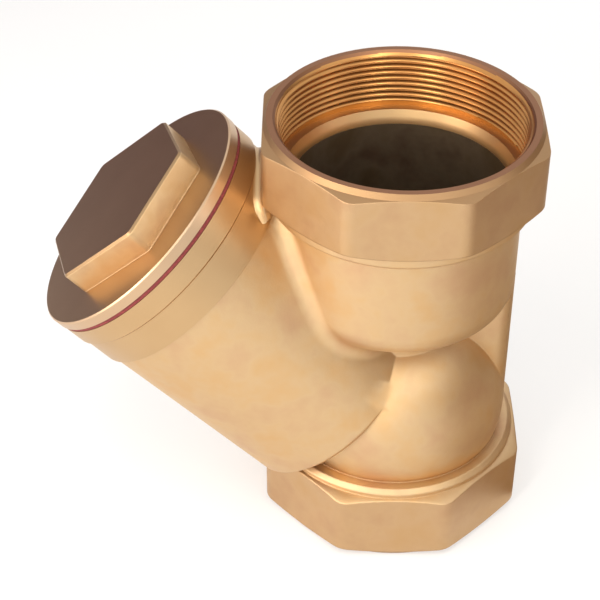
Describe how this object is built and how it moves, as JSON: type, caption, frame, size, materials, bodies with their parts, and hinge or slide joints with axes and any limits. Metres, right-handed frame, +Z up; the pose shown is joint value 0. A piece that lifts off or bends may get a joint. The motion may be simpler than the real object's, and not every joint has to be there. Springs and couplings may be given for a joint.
{
  "type": "y-strainer",
  "caption": "Cast bronze Y-strainer for a pipe line, with octagonal threaded ends and a hexagon-headed screwed cap over a removable screen.",
  "frame": {"origin": "centre of the inlet end face, the lower end that the strainer stands on", "axes": "+Z up along the pipe line from inlet to outlet; the branch leans 43.5 degrees from +Z towards -X, in the XZ plane"},
  "size_m": [0.1755, 0.096, 0.165],
  "materials": {
    "cast_bronze": "satin as-cast skin, machined sockets and end faces",
    "cap_bronze": "satin, turned flange and hexagon",
    "gasket_fibre": "matt dark red sheet",
    "screen_steel": "perforated stainless sheet"
  },
  "bodies": {
    "body": {"body": "cast_bronze"},
    "screen": {"screen": "screen_steel"},
    "gasket": {"gasket": "gasket_fibre"},
    "cap": {"cap": "cap_bronze"}
  },
  "joints": [
    {"name": "screen_draw", "type": "slide", "parent": "body", "child": "screen", "axis": [-0.6884, 0, 0.7254], "range_m": [0, 0.105]},
    {"name": "cap_travel", "type": "slide", "parent": "screen", "child": "gasket", "axis": [-0.6884, 0, 0.7254], "range_m": [0, 0.012]},
    {"name": "cap_turn", "type": "hinge", "parent": "gasket", "child": "cap", "pos_m": [-0.09155, 0, 0.12147], "axis": [-0.6884, 0, 0.7254], "range_deg": [0, 2160]}
  ],
  "couplings": [
    {"joint": "cap_travel", "follows": "cap_turn", "m_per_rad": 0.000318}
  ]
}
